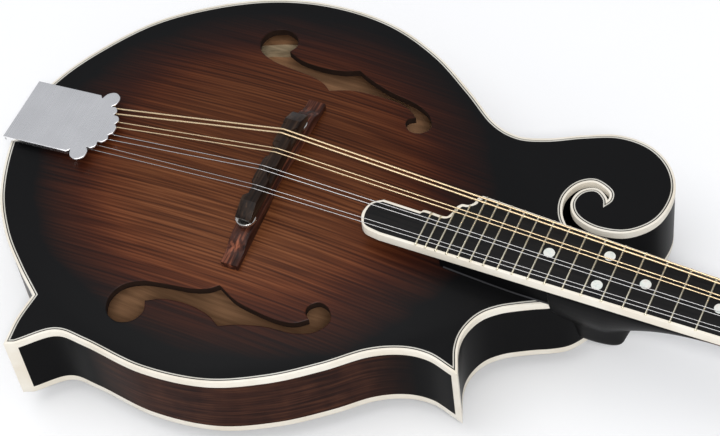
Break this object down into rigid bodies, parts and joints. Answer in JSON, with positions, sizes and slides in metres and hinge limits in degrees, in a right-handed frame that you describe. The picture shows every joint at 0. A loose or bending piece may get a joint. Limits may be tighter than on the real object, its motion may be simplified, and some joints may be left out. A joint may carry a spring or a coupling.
{
  "type": "mandolin",
  "caption": "Mandolin with a scroll and pointed treble side, arched top with f-holes, adjustable bridge, sliding tailpiece cover, bound fingerboard and geared tuners.",
  "frame": {"origin": "centre of the overall outline, at the lowest point of the arched back", "axes": "+X towards the headstock, +Y towards the bass side and its scroll, +Z out of the top"},
  "size_m": [0.6856, 0.2682, 0.0935],
  "materials": {
    "top_spruce": "satin sunburst lacquer",
    "back_maple": "satin sunburst lacquer",
    "rib_maple": "satin dark lacquer",
    "ivory_binding": "polished",
    "basswood": "raw",
    "raw_spruce": "raw",
    "black_neck": "satin black lacquer",
    "headstock_veneer": "gloss black lacquer",
    "ebony": "oiled",
    "bone": "polished",
    "rosewood": "oiled",
    "bridge_hardware": "bright",
    "tailpiece_plate": "bright",
    "wound_wire": "bright wound",
    "plain_wire": "bright",
    "tuner_metal": "nickel",
    "pearl_button": "pearloid",
    "black_plastic": "polished",
    "rod_steel": "plain"
  },
  "bodies": {
    "instrument": {"top_plate": "top_spruce", "back_plate": "back_maple", "rib_bass": "rib_maple", "rib_treble_tail": "rib_maple", "rib_treble_waist": "rib_maple", "rib_treble_neck": "rib_maple", "tail_block": "basswood", "neck_block": "basswood", "upper_point_block": "basswood", "lower_point_block": "basswood", "top_lining": "basswood", "back_lining": "basswood", "tone_bar_bass": "raw_spruce", "tone_bar_treble": "raw_spruce", "top_binding": "ivory_binding", "back_binding": "ivory_binding", "upper_point_cap": "ivory_binding", "lower_point_cap": "ivory_binding", "neck": "black_neck", "headstock_overlay": "headstock_veneer", "truss_rod": "rod_steel", "truss_rod_cover": "black_plastic", "fingerboard": "ebony", "fingerboard_binding": "ivory_binding", "nut": "bone", "bridge_base": "rosewood", "bridge_post_bass": "bridge_hardware", "bridge_post_treble": "bridge_hardware", "tailpiece_base": "tailpiece_plate", "end_pin": "black_plastic", "string_g_outer": "wound_wire", "string_g_inner": "wound_wire", "string_d_outer": "wound_wire", "string_d_inner": "wound_wire", "string_a_outer": "plain_wire", "string_a_inner": "plain_wire", "string_e_outer": "plain_wire", "string_e_inner": "plain_wire", "tuner_plate_bass": "tuner_metal", "tuner_plate_treble": "tuner_metal"},
    "saddle": {"bridge_saddle": "rosewood"},
    "wheel_bass": {"bridge_thumbwheel_bass": "bridge_hardware"},
    "wheel_treble": {"bridge_thumbwheel_treble": "bridge_hardware"},
    "cover": {"tailpiece_cover": "tailpiece_plate"},
    "post_bass_1": {"tuner_post_bass_1": "tuner_metal"},
    "button_bass_1": {"tuner_button_bass_1": "pearl_button"},
    "post_bass_2": {"tuner_post_bass_2": "tuner_metal"},
    "button_bass_2": {"tuner_button_bass_2": "pearl_button"},
    "post_bass_3": {"tuner_post_bass_3": "tuner_metal"},
    "button_bass_3": {"tuner_button_bass_3": "pearl_button"},
    "post_bass_4": {"tuner_post_bass_4": "tuner_metal"},
    "button_bass_4": {"tuner_button_bass_4": "pearl_button"},
    "post_treble_1": {"tuner_post_treble_1": "tuner_metal"},
    "button_treble_1": {"tuner_button_treble_1": "pearl_button"},
    "post_treble_2": {"tuner_post_treble_2": "tuner_metal"},
    "button_treble_2": {"tuner_button_treble_2": "pearl_button"},
    "post_treble_3": {"tuner_post_treble_3": "tuner_metal"},
    "button_treble_3": {"tuner_button_treble_3": "pearl_button"},
    "post_treble_4": {"tuner_post_treble_4": "tuner_metal"},
    "button_treble_4": {"tuner_button_treble_4": "pearl_button"}
  },
  "joints": [
    {"name": "bridge_height", "type": "slide", "parent": "instrument", "child": "saddle", "axis": [0, 0, 1], "range_m": [-0.0018, 0]},
    {"name": "wheel_turn_bass", "type": "hinge", "parent": "saddle", "child": "wheel_bass", "pos_m": [-0.176, 0.0339, 0.08269], "axis": [0, 0, 1], "range_deg": [-930, 0]},
    {"name": "wheel_turn_treble", "type": "hinge", "parent": "saddle", "child": "wheel_treble", "pos_m": [-0.17497, -0.03169, 0.08269], "axis": [0, 0, 1], "range_deg": [-930, 0]},
    {"name": "cover_slide", "type": "slide", "parent": "instrument", "child": "cover", "axis": [-0.9936, 0, -0.1132], "range_m": [0, 0.045]},
    {"name": "post_turn_bass_1", "type": "hinge", "parent": "instrument", "child": "post_bass_1", "pos_m": [0.2242, 0.0235, 0.06145], "axis": [0.2924, 0, 0.9563], "continuous": true},
    {"name": "button_turn_bass_1", "type": "hinge", "parent": "instrument", "child": "button_bass_1", "pos_m": [0.21143, 0.0235, 0.04602], "axis": [0, 1, 0], "continuous": true},
    {"name": "post_turn_bass_2", "type": "hinge", "parent": "instrument", "child": "post_bass_2", "pos_m": [0.2462, 0.0235, 0.05473], "axis": [0.2924, 0, 0.9563], "continuous": true},
    {"name": "button_turn_bass_2", "type": "hinge", "parent": "instrument", "child": "button_bass_2", "pos_m": [0.23343, 0.0235, 0.03929], "axis": [0, 1, 0], "continuous": true},
    {"name": "post_turn_bass_3", "type": "hinge", "parent": "instrument", "child": "post_bass_3", "pos_m": [0.26819, 0.0235, 0.048], "axis": [0.2924, 0, 0.9563], "continuous": true},
    {"name": "button_turn_bass_3", "type": "hinge", "parent": "instrument", "child": "button_bass_3", "pos_m": [0.25542, 0.0235, 0.03257], "axis": [0, 1, 0], "continuous": true},
    {"name": "post_turn_bass_4", "type": "hinge", "parent": "instrument", "child": "post_bass_4", "pos_m": [0.29019, 0.0235, 0.04128], "axis": [0.2924, 0, 0.9563], "continuous": true},
    {"name": "button_turn_bass_4", "type": "hinge", "parent": "instrument", "child": "button_bass_4", "pos_m": [0.27742, 0.0235, 0.02584], "axis": [0, 1, 0], "continuous": true},
    {"name": "post_turn_treble_1", "type": "hinge", "parent": "instrument", "child": "post_treble_1", "pos_m": [0.2242, -0.0185, 0.06145], "axis": [0.2924, 0, 0.9563], "continuous": true},
    {"name": "button_turn_treble_1", "type": "hinge", "parent": "instrument", "child": "button_treble_1", "pos_m": [0.21143, -0.0185, 0.04602], "axis": [0, 1, 0], "continuous": true},
    {"name": "post_turn_treble_2", "type": "hinge", "parent": "instrument", "child": "post_treble_2", "pos_m": [0.2462, -0.0185, 0.05473], "axis": [0.2924, 0, 0.9563], "continuous": true},
    {"name": "button_turn_treble_2", "type": "hinge", "parent": "instrument", "child": "button_treble_2", "pos_m": [0.23343, -0.0185, 0.03929], "axis": [0, 1, 0], "continuous": true},
    {"name": "post_turn_treble_3", "type": "hinge", "parent": "instrument", "child": "post_treble_3", "pos_m": [0.26819, -0.0185, 0.048], "axis": [0.2924, 0, 0.9563], "continuous": true},
    {"name": "button_turn_treble_3", "type": "hinge", "parent": "instrument", "child": "button_treble_3", "pos_m": [0.25542, -0.0185, 0.03257], "axis": [0, 1, 0], "continuous": true},
    {"name": "post_turn_treble_4", "type": "hinge", "parent": "instrument", "child": "post_treble_4", "pos_m": [0.29019, -0.0185, 0.04128], "axis": [0.2924, 0, 0.9563], "continuous": true},
    {"name": "button_turn_treble_4", "type": "hinge", "parent": "instrument", "child": "button_treble_4", "pos_m": [0.27742, -0.0185, 0.02584], "axis": [0, 1, 0], "continuous": true}
  ],
  "couplings": [
    {"joint": "wheel_turn_bass", "follows": "bridge_height", "rad_per_m": 8976},
    {"joint": "wheel_turn_treble", "follows": "bridge_height", "rad_per_m": 8976},
    {"joint": "post_turn_bass_1", "follows": "button_turn_bass_1", "ratio": 0.0625},
    {"joint": "post_turn_bass_2", "follows": "button_turn_bass_2", "ratio": 0.0625},
    {"joint": "post_turn_bass_3", "follows": "button_turn_bass_3", "ratio": 0.0625},
    {"joint": "post_turn_bass_4", "follows": "button_turn_bass_4", "ratio": 0.0625},
    {"joint": "post_turn_treble_1", "follows": "button_turn_treble_1", "ratio": 0.0625},
    {"joint": "post_turn_treble_2", "follows": "button_turn_treble_2", "ratio": 0.0625},
    {"joint": "post_turn_treble_3", "follows": "button_turn_treble_3", "ratio": 0.0625},
    {"joint": "post_turn_treble_4", "follows": "button_turn_treble_4", "ratio": 0.0625}
  ]
}
